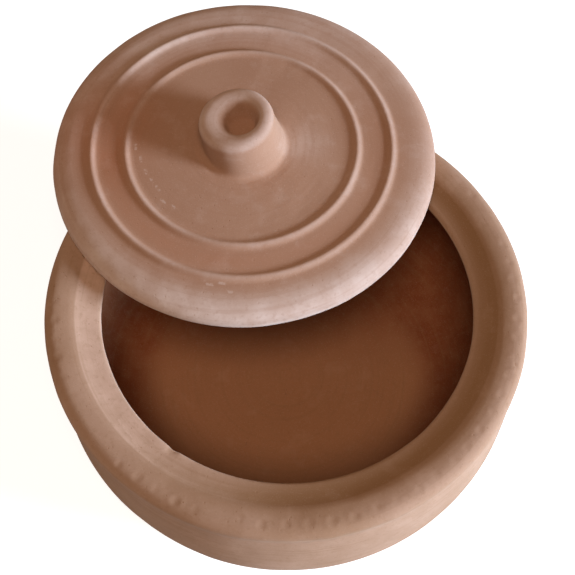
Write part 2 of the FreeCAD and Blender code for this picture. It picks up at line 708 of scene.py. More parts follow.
CLAY_LAYERS = (
    Layer(Noise.CLOUD, Tint.DARK, 0.6, (0.40, 0.66)),
    Layer(Cover.INNER, Tint.INNER, 0.85),
    # Redder clay on the lid; painted shade and the lid's painted shadow inside the pot
    Layer(Cover.RED, Tint.RED, broken=(0.3, 0.3, 0.65)),
    # Painted shade along the collar, low on the pot's body and in the knob's hollow
    Layer(Cover.SHADE, Tint.DARK, 0.75),
    # Worn paler clay on the pot's lip; painted light and painted highlights elsewhere
    Layer(Cover.BLOOM, Tint.PALE, broken=(0.4, 0.3, 0.7)),
    Layer(Noise.MOTTLE, Tint.PALE, 0.10, (0.54, 0.72)),
    Layer(Noise.LINES, Tint.DARK, 0.22, (0.50, 0.70)),
    Layer(Noise.SPECKLE, Tint.DARK, 0.22, (0.52, 0.70)),
    Layer(Noise.GRAIN, Tint.PALE, 0.12, (0.55, 0.70)),
    Layer(Cover.PITS, Tint.DARK, 0.30),
    Layer(Cover.RAW, Tint.DARK, 0.6),
    Layer(Cover.SCUFFS, Tint.PALE, 0.38),
)


@dataclass(frozen=True)
class FiredClay:
    """Finish of bare fired clay.

    Attributes:
        name: The material's name.
        tone: The clay's own colour.
        dark: Its darker blotches, and the colour of painted shade.
        red: Where it fired redder; on the pot, the colour of painted shade inside.
        pale: Paler dust on worn places, and the colour of painted light and painted highlights.
        inner: Colour inside the vessel.
        axis: Place of the turning axis, for the lines round it.
        scuffs: Light scratches, each from one place to another.
        scuff_span: Distances from a scratch at which it has gone and at which it is full.
        scuff_skips: Values of the speckle between which a scratch comes through.
        pit_scale: Pits to the metre.
        pit_span: Distances from a pit's middle at which it has gone and at which it is full.
        line_drift: Share of a place that shifts the turning lines, so that they aren't even.
        relief: What the surface's relief is made of, with the height of each.
        grain: Height of the whole relief, in metres.
        relief_strength: Strength of the relief.
        roughness: Middle roughness.
        roughness_range: How much the roughness changes with the mottle.
        roughness_span: Values of the mottle between which it does.
        gloss: Level of the shine.
        powder: Roughness of the matte part.
    """

    name: str
    tone: Colour
    dark: Colour
    red: Colour
    pale: Colour
    inner: Colour
    axis: Pair
    scuffs: tuple[tuple[Place, Place], ...] = ()
    scuff_span: Pair = (0.0011, 0.0004)
    scuff_skips: Pair = (0.42, 0.56)
    pit_scale: float = 260.0
    pit_span: Pair = (0.14, 0.05)
    line_drift: float = 0.035
    relief: tuple[tuple[Noise | Cover, float], ...] = (
        (Noise.SPECKLE, 0.6), (Noise.LINES, 0.5), (Noise.GRAIN, 0.35), (Cover.PITS, -0.8))
    grain: float = 0.00013
    relief_strength: float = 0.8
    roughness: float = 0.85
    roughness_range: float = 0.10
    roughness_span: Pair = (0.3, 0.7)
    gloss: float = 0.25
    powder: float = 0.5

    def scuffed(self, graph: NodeGraph, place: Socket, breaks: Socket) -> Socket:
        """Mask of the light scratches, broken up as they skip over the grain.

        Args:
            graph: The material's nodes.
            place: The place on the clay.
            breaks: The noise that breaks them up.

        Returns:
            The mask, from 0 to 1.
        """
        total = graph.math("ADD", 0.0, 0.0)
        for start, end in self.scuffs:
            along = Vector(end) - Vector(start)
            away = graph.vector("SUBTRACT", place, start)
            travel = graph.vector("DOT_PRODUCT", away, tuple(along))
            share = graph.scaled(travel, 1 / along.length_squared)
            clamped = graph.math("MINIMUM", graph.math("MAXIMUM", share, 0.0), 1.0)
            foot = graph.stretched(tuple(along), clamped)
            gap = graph.vector("LENGTH", graph.vector("SUBTRACT", away, foot))
            total = graph.math("MAXIMUM", total, graph.ramp(gap, *self.scuff_span))
        return graph.math("MULTIPLY", total, graph.ramp(breaks, *self.scuff_skips))

    def turned_place(self, graph: NodeGraph, place: Socket) -> Socket:
        """Place in which noise runs in lines round the turning axis.

        Args:
            graph: The material's nodes.
            place: The place on the clay.

        Returns:
            Distance from the axis and height, with a little of the place itself.
        """
        centred = graph.vector("SUBTRACT", place, (*self.axis, 0.0))
        split = graph.add("ShaderNodeSeparateXYZ", Vector=centred).outputs
        flat = graph.add("ShaderNodeCombineXYZ", X=split["X"], Y=split["Y"])
        reach = graph.vector("LENGTH", flat.outputs["Vector"])
        round_axis = graph.add("ShaderNodeCombineXYZ", X=reach, Y=split["Z"])
        drift = graph.stretched(place, self.line_drift)
        return graph.vector("ADD", round_axis.outputs["Vector"], drift)

    def sources(self, graph: NodeGraph) -> dict[Noise | Cover, Socket]:
        """All that the colours and the relief follow.

        Args:
            graph: The material's nodes.

        Returns:
            The output of each kind of noise and cover.
        """
        place = graph.add("ShaderNodeTexCoord").outputs["Object"]
        turned = self.turned_place(graph, place)
        found = {kind: kind.output(graph, turned if kind is Noise.LINES else place)
                 for kind in Noise}
        pits = graph.add("ShaderNodeTexVoronoi", Vector=place, Scale=self.pit_scale)
        found[Cover.PITS] = graph.ramp(pits.outputs["Distance"], *self.pit_span)
        found[Cover.SCUFFS] = self.scuffed(graph, place, found[Noise.SPECKLE])
        for carried in (Cover.INNER, Cover.RED, Cover.SHADE, Cover.BLOOM, Cover.RAW):
            found[carried] = graph.attribute(carried.value)
        return found

    def colour(self, graph: NodeGraph, found: dict[Noise | Cover, Socket]) -> Socket:
        """Lays the layers over the clay's own colour.

        Args:
            graph: The material's nodes.
            found: What the layers follow.

        Returns:
            The colour.
        """
        colour: object = self.tone
        for layer in CLAY_LAYERS:
            share = found[layer.follows]
            if layer.span:
                share = graph.ramp(share, *layer.span)
            if layer.broken:
                taken, low, high = layer.broken
                mottle = graph.ramp(found[Noise.MOTTLE], low, high)
                kept = graph.math("ADD", graph.scaled(mottle, taken), 1 - taken)
                share = graph.math("MULTIPLY", share, kept)
            tint = getattr(self, layer.tint.value)
            colour = graph.mix(graph.scaled(share, layer.share), colour, tint)
        return colour

    def material(self) -> bpy.types.Material:
        """Builds the material's nodes.

        Returns:
            The material.
        """
        made = bpy.data.materials.new(self.name)
        made.use_nodes = True
        graph = NodeGraph(made.node_tree)
        found = self.sources(graph)
        relief: object = 0.0
        for source, height in self.relief:
            relief = graph.math("ADD", relief, graph.scaled(found[source], height))
        bump = graph.add("ShaderNodeBump", Height=relief, Strength=self.relief_strength,
                         Distance=self.grain)
        mottle = graph.ramp(found[Noise.MOTTLE], *self.roughness_span)
        rough = graph.math("ADD", graph.scaled(mottle, self.roughness_range),
                           self.roughness - self.roughness_range / 2)
        shader = graph.add("ShaderNodeBsdfPrincipled", Roughness=rough,
                           Normal=bump.outputs["Normal"])
        shader.inputs["Base Color"].default_value = (*self.tone, 1.0)
        shader.inputs["Specular IOR Level"].default_value = self.gloss
        shader.inputs["Diffuse Roughness"].default_value = self.powder
        graph.link(self.colour(graph, found), shader.inputs["Base Color"])
        output = graph.add("ShaderNodeOutputMaterial")
        graph.link(shader.outputs["BSDF"], output.inputs["Surface"])
        return made


def dress(piece: bpy.types.Object, finish: FiredClay, node: str) -> bpy.types.Object:
    """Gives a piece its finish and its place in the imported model.

    Args:
        piece: The piece.
        finish: Its finish.
        node: The node that it stands for.

    Returns:
        The same piece.
    """
    piece.data.materials.append(finish.material())
    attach(piece, "root")
    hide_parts(node)
    return piece


def report(piece: bpy.types.Object) -> None:
    """Logs a piece's name, its number of triangles and its finish."""
    triangles = sum(len(face.vertices) - 2 for face in piece.data.polygons)
    log.info("%s: %d triangles, finish %s", piece.name, triangles, piece.data.materials[0].name)


@dataclass
class ClayPot:
    """The pot: a low round body, a rolled lip with pressed marks, and a collar down to the mouth.

    The belly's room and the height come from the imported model, the rest are the pot's own sizes.
    Directions round the axis are in degrees from +X, and negative towards the viewer.
    """

    room: float
    height: float

    belly_height: float = 0.053
    body_shift: float = 0.0006
    body_shift_fade: Ramp = Ramp(0.080, 0.096)
    foot_radius: float = 0.091
    neck: Pair = (0.1242, 0.0925)
    lip_inset: float = 0.0003
    lip_roll: float = 0.0063
    lip_curve: float = 0.032
    lip_slope: float = 12.0
    shoulder_curve: float = 0.008
    collar_slope: float = 34.0
    collar_curve: float = 0.027
    collar_width: float = 0.0287
    collar_root_drop: float = 0.021
    mouth_face: float = 0.0046
    mouth_nose: float = 0.0014
    mouth_shift: Pair = (0.0006, 0.0008)
    mouth_shift_width: float = 0.014
    mouth_shift_fade: Ramp = Ramp(0.084, 0.094)
    wall: float = 0.0085
    floor_thickness: float = 0.009
    floor_rounding: float = 0.009
    corner_softness: float = 0.0007

    # Round marks pressed along the lip, each with a low burr round it
    mark_seed: int = 41
    mark_pitch: float = 0.011
    mark_width: float = 0.0062
    mark_depth: float = 0.0003
    mark_offset: float = 0.0002
    mark_stray_along: float = 0.08
    mark_stray_across: float = 0.0007
    mark_widths: Pair = (0.8, 1.1)
    mark_depths: Pair = (0.35, 1.1)
    mark_fullness: float = 1.5
    mark_burr: Hump = Hump(1.15, 0.35)
    mark_burr_height: float = 0.2

    # Chip on the edge of the mouth
    chip_angle: float = 235.0
    chip_radius: float = 0.0026
    chip_depth: float = 0.0012
    chip_fullness: float = 1.25
    chip_raggedness: Unevenness = Unevenness(77, 0.0035, 0.25)

    lumps: tuple[Unevenness, ...] = (Unevenness(3, 0.060, 0.00018), Unevenness(4, 0.019, 0.00005))
    lines: TurningLines = TurningLines(5, (0.0041, 0.0057, 0.0083), 0.00010)
    collar_lines: float = 0.35

    # Painted shade inside: darker, redder clay on the wall, and the lid's painted shadow on the far
    # side of the floor
    painted_shade_wall: Ramp = Ramp(0.070, 0.094)
    painted_lid_shadow_far: Ramp = Ramp(-0.005, 0.055)
    painted_lid_shadow_share: float = 0.85

    # Paler clay worn on the lip, and painted light on one side of the collar and on one side of the
    # body
    bloom_lip: float = 0.15
    painted_light_collar: float = 0.85
    painted_light_collar_side: float = 180.0
    painted_light_collar_fullness: float = 1.15
    painted_light_body: float = 0.38
    painted_light_body_side: float = -70.0

    # Painted shade: darker clay in a band and a crease along the collar, and low on one side of the
    # body
    shade_side: float = -30.0
    shade_side_fade: Ramp = Ramp(-0.55, 0.45)
    shade_front_shift: float = 0.0020
    shade_inner: Ramp = Ramp(0.0980, 0.1030)
    shade_outer: Ramp = Ramp(0.1130, 0.1205)
    shade_band: float = 0.9
    shade_crease: Hump = Hump(0.1080, 0.0026)
    shade_crease_side: float = 0.6
    shade_crease_all: float = 0.2
    shade_most: float = 1.3
    shade_height: Ramp = Ramp(0.092, 0.097)
    shade_body: float = 0.65
    shade_body_side: float = 205.0

    # Light scratch on the lip, from one place to another
    scuff: tuple[Place, Place] = ((-0.0829, -0.0653, 0.1035), (-0.0722, -0.0799, 0.1045))

    def __post_init__(self) -> None:
        """Works out the sizes that follow from the others."""
        self.belly_radius = self.room - self.body_shift
        self.lip_radius = self.room - self.lip_inset
        self.crest_radius = self.lip_radius - self.lip_roll
        self.mouth_radius = self.lip_radius - self.collar_width
        self.lip_centre = (self.crest_radius, self.height - self.lip_roll)

    def collar_top(self) -> tuple[Profile, Profile]:
        """Top of the pot from the crest of the lip to the mouth.

        Returns:
            The lip's inner side with its shoulder, and the collar's slope.
        """
        turn, steepest = 90 + self.lip_slope, 90 + self.collar_slope
        crest = (self.crest_radius, self.height - self.lip_curve)
        shoulder = on_circle(crest, self.lip_curve - self.shoulder_curve, turn)
        hollow = on_circle(shoulder, self.shoulder_curve + self.collar_curve, steepest)
        reach = self.mouth_radius + self.mouth_nose - hollow[0]
        mouth = -math.degrees(math.acos(reach / self.collar_curve))
        inner_side = [arc(crest, self.lip_curve, 90, turn),
                      arc(shoulder, self.shoulder_curve, turn, steepest)]
        return np.concatenate(inner_side), arc(hollow, self.collar_curve, steepest - 180, mouth)

    def section(self) -> Section:
        """Section of the pot, from the middle of the foot round to the middle of the floor.

        Returns:
            The section with its zones.
        """
        belly = (self.belly_radius, self.belly_height)
        inner_belly = (self.belly_radius - self.wall, self.belly_height)
        foot = (self.foot_radius, 0.0)
        floor_edge = (self.foot_radius - self.wall, self.floor_thickness)
        floor_end = (floor_edge[0] - self.floor_rounding, self.floor_thickness)
        collar_root = (self.neck[0] - self.wall, self.height - self.collar_root_drop)
        neck_touch = touch_bearing(self.lip_centre, self.lip_roll, self.neck, 1)
        lip_side, collar = self.collar_top()
        half = self.mouth_face / 2
        nose = cap_curve(half, self.mouth_nose)
        nose_centre = (self.mouth_radius + nose, collar[-1][1] - half)
        nose_turn = bearing(nose_centre, collar[-1])
        under = (collar[-1][0], collar[-1][1] - self.mouth_face)
        section = Section()
        section.add(Zone.FOOT, run((0.0, 0.0), foot))
        section.add(Zone.WALL, swell(belly, foot)[::-1], swell(belly, self.neck),
                    run(self.neck, on_circle(self.lip_centre, self.lip_roll, neck_touch)))
        section.add(Zone.LIP, arc(self.lip_centre, self.lip_roll, neck_touch, 90), lip_side)
        section.add(Zone.COLLAR, collar, arc(nose_centre, nose, nose_turn, 360 - nose_turn))
        wall_side = swell(inner_belly, floor_edge)
        wall_side = wall_side[wall_side[:, 1] > self.floor_thickness + self.floor_rounding]
        rounded = bend(wall_side[-1], floor_edge, floor_end)
        section.add(Zone.INSIDE, run(under, collar_root), swell(inner_belly, collar_root)[::-1],
                    wall_side, rounded)
        section.add(Zone.FLOOR, run(rounded[-1], (0.0, self.floor_thickness)))
        return section

    def marks(self, surface: TurnedSurface) -> np.ndarray:
        """Depth of the round marks pressed along the lip, each one a little different.

        Args:
            surface: The turned surface.

        Returns:
            How far each point is pressed in, in metres.
        """
        draw = np.random.default_rng(self.mark_seed)
        ring = self.crest_radius + self.mark_offset
        count = round(2 * math.pi * ring / self.mark_pitch)
        depth = np.zeros(len(surface.flat))
        lip = np.nonzero(surface.zone_mask(Zone.LIP))[0]
        along, across = self.mark_stray_along, self.mark_stray_across
        for index in range(count):
            angle = 2 * math.pi * (index + draw.uniform(-along, along)) / count
            out = ring + draw.uniform(-across, across)
            centre = np.array([out * math.cos(angle), out * math.sin(angle), self.height])
            half = self.mark_width / 2 * draw.uniform(*self.mark_widths)
            pressed = self.mark_depth * draw.uniform(*self.mark_depths)
            away = np.linalg.norm(surface.flat[lip] - centre, axis=1) / half
            bowl = np.clip(1 - away ** 2, 0, 1) ** self.mark_fullness
            depth[lip] += pressed * (bowl - self.mark_burr_height * self.mark_burr.at(away))
        return depth

    def chip(self, points: np.ndarray) -> np.ndarray:
        """Chip on the edge of the mouth.

        Args:
            points: The turned surface's points in space.

        Returns:
            Share, from 0 to 1, by which each point lies in the chip.
        """
        reach = self.mouth_radius + self.mouth_nose / 2
        across = on_circle((0.0, 0.0), reach, self.chip_angle)
        centre = np.array([*across, self.collar_top()[1][-1][1]])
        ragged = 1 + self.chip_raggedness.at(points)
        away = np.linalg.norm(points - centre, axis=1) / (self.chip_radius * ragged)
        return np.clip(self.chip_fullness - away, 0, 1)

    def build(self) -> bpy.types.Object:
        """Builds the pot as one closed mesh.

        Returns:
            The pot's object.
        """
        surface = TurnedSurface(*self.section().rings(self.corner_softness))
        lumps = sum(lump.at(surface.flat) for lump in self.lumps)
        lines = self.lines.at(surface.travel, surface.angle)
        lined = surface.zone_mask(Zone.WALL, Zone.INSIDE, Zone.FLOOR)
        lined += self.collar_lines * surface.zone_mask(Zone.COLLAR)
        chipped = self.chip(surface.flat)
        push = lumps + lines * lined - self.marks(surface) - self.chip_depth * chipped
        points = surface.pushed(push, Zone.FOOT)
        points[:, 0] += self.body_shift * (1 - self.body_shift_fade.at(points[:, 2]))
        shifted = Ramp(self.mouth_radius, self.mouth_radius + self.mouth_shift_width)
        mouth = (1 - shifted.at(surface.radius)) * self.mouth_shift_fade.at(points[:, 2])
        points[:, :2] += mouth[:, None] * np.array(self.mouth_shift)
        # Besides the chip and the inside, these masks hold painted shade and painted light
        masks = {"raw": chipped, "inner": surface.zone_mask(Zone.INSIDE, Zone.FLOOR),
                 "bloom": self.bloom(points, surface), "red": self.red(points, surface),
                 "shade": self.shade(points, surface)}
        return make_piece("clay_pot", surface.closed(points), surface.faces(), masks)

    def red(self, points: np.ndarray, surface: TurnedSurface) -> np.ndarray:
        """Painted shade inside: darker, redder clay on the wall, and the lid's painted shadow on the
        far side of the floor.

        Args:
            points: Its points in space.
            surface: The turned surface.

        Returns:
            A value from 0 to 1 for each point.
        """
        far = self.painted_lid_shadow_share * self.painted_lid_shadow_far.at(points[:, 1])
        inside = surface.zone_mask(Zone.INSIDE, Zone.FLOOR)
        return inside * np.clip(self.painted_shade_wall.at(reach_of(points)) + far, 0, 1)

    def bloom(self, points: np.ndarray, surface: TurnedSurface) -> np.ndarray:
        """Paler clay worn on the lip, and painted light on one side of the collar and of the body.

        Args:
            points: Its points in space.
            surface: The turned surface.

        Returns:
            A value from 0 to 1 for each point.
        """
        collar = self.painted_light_collar_fullness * facing(points, self.painted_light_collar_side)
        body = self.painted_light_body * sided(points, self.painted_light_body_side)
        return (self.bloom_lip * surface.zone_mask(Zone.LIP)
                + self.painted_light_collar * surface.zone_mask(Zone.COLLAR) * np.clip(collar, 0, 1)
                + surface.zone_mask(Zone.WALL) * body)

    def shade(self, points: np.ndarray, surface: TurnedSurface) -> np.ndarray:
        """Painted shade: darker, browner clay along the collar and low on one side of the body.

        Args:
            points: Its points in space.
            surface: The turned surface.

        Returns:
            A value from 0 up for each point.
        """
        side = self.shade_side_fade.at(facing(points, self.shade_side))
        near = np.clip(facing(points, VIEWER_SIDE), 0, 1)
        reach = reach_of(points) + self.shade_front_shift * near
        band = self.shade_inner.at(reach) * (1 - self.shade_outer.at(reach))
        crease = self.shade_crease.at(reach)
        collar = self.shade_band * side * band + self.shade_crease_side * side * crease
        collar = np.clip(collar + self.shade_crease_all * crease, 0, self.shade_most)
        low = surface.zone_mask(Zone.WALL) * np.clip(facing(points, self.shade_body_side), 0, 1)
        return self.shade_height.at(points[:, 2]) * collar + self.shade_body * low

    def clay(self) -> FiredClay:
        """Chooses the pot's colours.

        Returns:
            The pot's finish.
        """
        # On the pot the redder colour is used only for painted shade inside
        return FiredClay(
            name="pot_clay", tone=(0.435, 0.278, 0.197), dark=(0.32, 0.18, 0.095),
            red=(0.25, 0.075, 0.030), pale=(0.66, 0.475, 0.39), inner=(0.42, 0.205, 0.11),
            axis=(0.0, 0.0), scuffs=(self.scuff,))

    def dressed(self) -> bpy.types.Object:
        """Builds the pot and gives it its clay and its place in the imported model."""
        return dress(self.build(), self.clay(), "pot")


@dataclass
class Lid:
    """The lid: a slightly domed disc with two beads and a leaning hollow knob.

    The radius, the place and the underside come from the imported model, the rest are its own sizes.
    Directions round the axis are in degrees from +X, and negative towards the viewer.
    """

    radius: float
    centre: Pair
    underside: float

    edge_under: float = 0.003
    edge_over: float = 0.0088
    edge_rounding: float = 0.0130
    edge_ease: float = 0.0006
    crown: float = 0.0022
    outer_bead_inset: float = 0.0232
    bead_spacing: float = 0.0188
    bead_width: float = 0.0070
    bead_height: float = 0.0017
    corner_softness: float = 0.0005

    # The beads lie a little off the disc's centre
    bead_shift: Pair = (-0.0013, 0.0001)
    bead_shift_inner: Ramp = Ramp(0.030, 0.050)
    bead_shift_outer: Ramp = Ramp(0.088, 0.101)

    # Knob from its root up its side, over the rolled rim and down into its hollow
    knob_base_radius: float = 0.0228
    knob_root: float = 0.0024
    knob_root_tuck: float = 0.0006
    knob_waist: Pair = (0.0206, 0.009)
    knob_height: float = 0.025
    knob_rim_edge: float = 0.0202
    knob_rim_drop: float = 0.0048
    knob_rim_radius: float = 0.0154
    knob_funnel_width: float = 0.0032
    knob_funnel_drop: float = 0.0008
    knob_hole_radius: float = 0.0094
    knob_hole_drop: float = 0.0026
    knob_hole_corner: Pair = (0.0006, 0.0006)
    knob_hole_wall: Pair = (-0.0004, -0.0018)
    knob_hollow_depth: float = 0.0125
    knob_hollow_radius: float = 0.0066
    knob_hollow_bowl: float = 0.0022

    # Lean of the knob towards -X, and how far its rim and its hole lie off its middle
    knob_lean: float = 8.0
    knob_turn_height: float = 0.007
    knob_clear: Ramp = Ramp(0.030, 0.042)
    knob_rim_shift: float = -0.0004
    knob_rim_shift_height: float = 0.018
    knob_hole_shift: float = 0.0020
    knob_hole_shift_height: float = 0.014

    lumps: tuple[Unevenness, ...] = (
        Unevenness(13, 0.045, 0.00014), Unevenness(14, 0.016, 0.00004))
    knob_lumps: Unevenness = Unevenness(16, 0.022, 0.00018)
    lines: TurningLines = TurningLines(15, (0.0034, 0.0052), 0.00006)

    # Painted light on the edge, mostly at the front, and on the knob's rim, painted highlights on
    # the beads, and a paler patch beside the knob
    painted_light_edge: Ramp = Ramp(0.084, 0.103)
    painted_light_edge_least: float = 0.05
    painted_light_front: float = -92.0
    painted_light_back: float = 100.0
    painted_light_back_span: Ramp = Ramp(0.058, 0.080)
    painted_light_back_share: float = 0.40
    paler_patch_reach: float = 0.033
    paler_patch_width: float = 0.012
    paler_patch_share: float = 0.4
    painted_light_knob_drop: Ramp = Ramp(0.0012, 0.0060)
    painted_light_knob_span: Ramp = Ramp(0.0095, 0.0125)
    painted_light_knob_share: float = 0.5
    painted_highlight_bead_width: float = 0.0016
    painted_highlight_bead_share: float = 0.3

    # Redder clay at the far left and in the ring between the beads
    red_patch: Pair = (-0.084, 0.015)
    red_patch_width: float = 0.034
    red_ring: Hump = Hump(0.0725, 0.007)
    red_ring_share: float = 0.5
    red_ring_least: float = 0.35
    red_side: float = 195.0

    # Painted shade down in the knob's hollow
    shade_hole_edge: float = 0.0110
    shade_depth: Ramp = Ramp(0.0022, 0.0055)
    shade_below: float = 0.001

    # Short light scratches that lie round the axis, by their middles
    scuff_length: float = 0.0028
    scuff_places: tuple[Pair, ...] = (
        (-0.0586, -0.0015), (-0.0554, -0.0094), (-0.0523, -0.0172), (-0.0487, -0.0230),
        (-0.0453, -0.0281), (-0.0422, -0.0361), (-0.0362, -0.0399), (-0.0160, -0.0852),
        (-0.0095, -0.0847), (-0.0062, -0.0895), (-0.0173, 0.0748))

    def __post_init__(self) -> None:
        """Works out the sizes that follow from the others."""
        self.rim = self.radius - self.edge_rounding
        self.edge = self.edge_under + self.edge_over
        self.dome_curve = cap_curve(self.rim, self.crown)
        self.top = self.edge + self.crown
        self.outer_bead = self.radius - self.outer_bead_inset
        self.inner_bead = self.outer_bead - self.bead_spacing

    def dome(self, radius: float) -> float:
        """Height of the domed top above the lid's underside."""
        return self.top - self.dome_curve + math.sqrt(self.dome_curve ** 2 - radius ** 2)

    def dome_run(self, start: float, end: float) -> Profile:
        """Points along the domed top from one radius to another."""
        radii = np.linspace(start, end, points_for(abs(end - start)))
        return np.array([(radius, self.dome(radius)) for radius in radii])

    def bead(self, ridge: float) -> Profile:
        """Points over a bead.

        Args:
            ridge: Radius of the bead's ridge.

        Returns:
            The points from its outer foot to its inner one.
        """
        half = self.bead_width / 2
        reach = np.linspace(-half, half, int(self.bead_width / FINE_STEP))
        rise = self.bead_height * (0.5 + 0.5 * np.cos(math.pi * reach / half))
        over = np.stack([ridge + reach, [self.dome(ridge + r) for r in reach] + rise], axis=1)
        return over[::-1]

    def knob(self) -> list[Profile]:
        """Stretches of the knob's side, rolled rim and hollow.

        Returns:
            The stretches, from the knob's root to the middle of the hollow.
        """
        height = self.top + self.knob_height
        start = self.knob_base_radius + self.knob_root
        root = (self.knob_base_radius, self.dome(self.knob_base_radius))
        outside = (self.knob_base_radius - self.knob_root_tuck, root[1] + self.knob_root)
        waist = (self.knob_waist[0], self.top + self.knob_waist[1])
        edge = (self.knob_rim_edge, height - self.knob_rim_drop)
        crest = (self.knob_rim_radius, height)
        crest_end = (crest[0] - self.knob_funnel_width / 2, height)
        funnel = (self.knob_rim_radius - self.knob_funnel_width, height - self.knob_funnel_drop)
        hole = np.array((self.knob_hole_radius, height - self.knob_hole_drop))
        hole_wall = tuple(hole + self.knob_hole_wall)
        bottom = height - self.knob_hollow_depth
        bowl_edge = (self.knob_hollow_radius, bottom + self.knob_hollow_bowl)
        bowl = cap_curve(self.knob_hollow_radius, self.knob_hollow_bowl)
        bowl_centre = (0.0, bottom + bowl)
        return [bend((start, self.dome(start)), root, outside),
                bend(outside, waist, edge),
                bend(edge, (edge[0], height), crest),
                bend(crest, crest_end, funnel),
                bend(funnel, hole + self.knob_hole_corner, hole_wall),
                run(hole_wall, bowl_edge),
                arc(bowl_centre, bowl, bearing(bowl_centre, bowl_edge), -90)]

    def section(self) -> Section:
        """Section of the lid, from the middle of its underside round to the knob's hollow.

        Returns:
            The section with its zones.
        """
        half = self.bead_width / 2
        under = self.radius - self.edge_under
        ease = (self.radius - self.edge_ease, self.edge - self.edge_ease)
        section = Section()
        section.add(Zone.UNDERSIDE, run((0.0, 0.0), (under, 0.0)))
        section.add(Zone.RIM, arc((under, self.edge_under), self.edge_under, -90, 0),
                    bend((self.radius, self.edge_under), ease, (self.rim, self.edge)))
        start = self.rim
        for ridge in (self.outer_bead, self.inner_bead):
            section.add(Zone.DISC, self.dome_run(start, ridge + half))
            section.add(Zone.BEAD, self.bead(ridge))
            start = ridge - half
        section.add(Zone.DISC, self.dome_run(start, self.knob_base_radius + self.knob_root))
        section.add(Zone.KNOB, *self.knob())
        return section

    def lean(self, points: np.ndarray) -> np.ndarray:
        """Leans the knob towards -X, starting from its root.

        Args:
            points: Points in the lid's own place, with its underside at z = 0.

        Returns:
            The points after the lean.
        """
        reach = reach_of(points)
        near = 1 - self.knob_clear.at(reach)
        z = points[:, 2] - self.top
        turn = -math.radians(self.knob_lean) * (Ramp(0.0, self.knob_turn_height).at(z) * near)
        hole = near * Ramp(self.knob_turn_height, self.knob_hole_shift_height).at(z)
        hole *= 1 - Ramp(self.knob_hole_radius, self.knob_rim_radius).at(reach)
        rim = near * Ramp(self.knob_turn_height, self.knob_rim_shift_height).at(z) * (1 - hole)
        x = points[:, 0] + self.knob_hole_shift * hole + self.knob_rim_shift * rim
        leaned = points.copy()
        leaned[:, 0] = x * np.cos(turn) + z * np.sin(turn)
        leaned[:, 2] = self.top - x * np.sin(turn) + z * np.cos(turn)
        return leaned

    def build(self) -> bpy.types.Object:
        """Builds the lid as one closed mesh.

        Returns:
            The lid's object.
        """
        surface = TurnedSurface(*self.section().rings(self.corner_softness))
        lumps = sum(lump.at(surface.flat) for lump in self.lumps)
        lines = self.lines.at(surface.travel, surface.angle) * surface.zone_mask(Zone.DISC)
        knob = surface.zone_mask(Zone.KNOB) * self.knob_lumps.at(surface.flat)
        points = surface.pushed(lumps + lines + knob, Zone.UNDERSIDE)
        reach = reach_of(points)
        shifted = self.bead_shift_inner.at(reach) * (1 - self.bead_shift_outer.at(reach))
        over = points[:, 2] > self.edge_under
        points[:, :2] += np.array(self.bead_shift) * shifted[:, None] * over[:, None]
        none = np.zeros(len(points))
        # The lid's masks hold redder clay, painted light and highlights, and painted shade in the
        # knob's hollow
        masks = {"raw": none, "inner": none, "bloom": self.bloom(points),
                 "red": self.red(points), "shade": self.shade(points)}
        points = self.lean(surface.closed(points))
        points += [*self.centre, self.underside]
        return make_piece("clay_lid", points, surface.faces(), masks)

    def bloom(self, points: np.ndarray) -> np.ndarray:
        """Painted light on the edge and the knob's rim, painted highlights on the beads, and a paler
        patch beside the knob.

        Args:
            points: Points in the lid's own place, before the knob leans.

        Returns:
            A value from 0 to 1 for each point.
        """
        reach = reach_of(points)
        near = sided(points, self.painted_light_front) ** 2
        least = self.painted_light_edge_least
        rim = self.painted_light_edge.at(reach) * (least + (1 - least) * near)
        back = np.clip(facing(points, self.painted_light_back), 0, 1)
        rim += self.painted_light_back_share * self.painted_light_back_span.at(reach) * back
        beside = (self.paler_patch_reach, 0.0, self.top)
        spot = self.paler_patch_share * patch(points, beside, self.paler_patch_width)
        drop = self.top + self.knob_height - points[:, 2]
        knob = self.painted_light_knob_share * (1 - self.painted_light_knob_drop.at(drop))
        knob *= self.painted_light_knob_span.at(reach)
        beads = sum(Hump(ridge, self.painted_highlight_bead_width).at(reach)
                    for ridge in (self.outer_bead, self.inner_bead))
        return np.clip(rim + spot + knob + self.painted_highlight_bead_share * beads, 0, 1)

    def red(self, points: np.ndarray) -> np.ndarray:
        """Where the lid fired redder.

        Args:
            points: Points in the lid's own place, before the knob leans.

        Returns:
            A value from 0 to 1 for each point.
        """
        least = self.red_ring_least
        ring = self.red_ring.at(reach_of(points))
        ring *= least + (1 - least) * sided(points, self.red_side)
        spot = patch(points, (*self.red_patch, self.edge), self.red_patch_width)
        return np.clip(spot + self.red_ring_share * ring, 0, 1)

    def shade(self, points: np.ndarray) -> np.ndarray:
        """Painted shade: darker clay down in the knob's hollow.

        Args:
            points: Points in the lid's own place, before the knob leans.

        Returns:
            A value from 0 to 1 for each point.
        """
        depth = self.top + self.knob_height - points[:, 2]
        hole = 1 - Ramp(self.knob_hole_radius, self.shade_hole_edge).at(reach_of(points))
        in_hollow = depth < self.knob_hollow_depth + self.shade_below
        return hole * self.shade_depth.at(depth) * in_hollow

    def scuffs(self) -> tuple[tuple[Place, Place], ...]:
        """Short light scratches on the lid's top.

        Returns:
            The two ends of each.
        """
        found = []
        for x, y in self.scuff_places:
            reach = math.hypot(x, y)
            middle = np.array([self.centre[0] + x, self.centre[1] + y,
                               self.underside + self.dome(reach)])
            half = np.array([-y, x, 0.0]) / reach * self.scuff_length / 2
            found.append((tuple(middle - half), tuple(middle + half)))
        return tuple(found)

